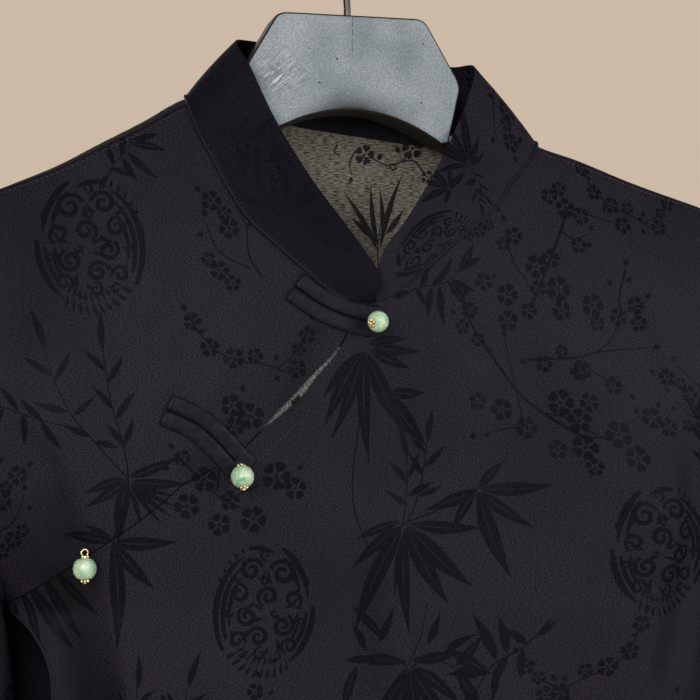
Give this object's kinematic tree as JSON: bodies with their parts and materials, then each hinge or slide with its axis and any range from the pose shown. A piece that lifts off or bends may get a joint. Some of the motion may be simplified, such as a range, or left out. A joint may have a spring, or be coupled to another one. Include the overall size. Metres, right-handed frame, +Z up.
{
  "type": "cheongsam top on a hanger",
  "caption": "Women's stand-collar top with a slanted side-fastening front, jade bead buttons and plain sleeves, hung on a broad-headed hanger.",
  "frame": {"origin": "inside of the hook's crown, where a rail carries it", "axes": "+Z up along the hook's shank, -Y out of the garment's front, +X towards the wearer's left"},
  "size_m": [0.562, 0.0914, 0.7156],
  "materials": {
    "jacquard": "matt silk and viscose jacquard, smoother woven figures",
    "collar": "the same jacquard, stiffened",
    "loops": "folded self-cloth strip",
    "wrong_side": "pale slubbed wrong side",
    "jade": "polished",
    "gilt": "polished",
    "hanger_paint": "worn satin silver-grey paint",
    "hook_steel": "dark plated"
  },
  "bodies": {
    "root": {"front_flap": "jacquard", "under_front": "jacquard", "opening_facing": "wrong_side", "back": "jacquard", "sleeve_right": "jacquard", "sleeve_left": "jacquard", "collar": "collar", "loop_neck": "loops", "loop_chest": "loops", "bead_neck": "jade", "pin_neck": "gilt", "bead_chest": "jade", "pin_chest": "gilt", "bead_underarm": "jade", "pin_underarm": "gilt", "hanger_body": "hanger_paint", "hanger_hook": "hook_steel"}
  },
  "joints": []
}
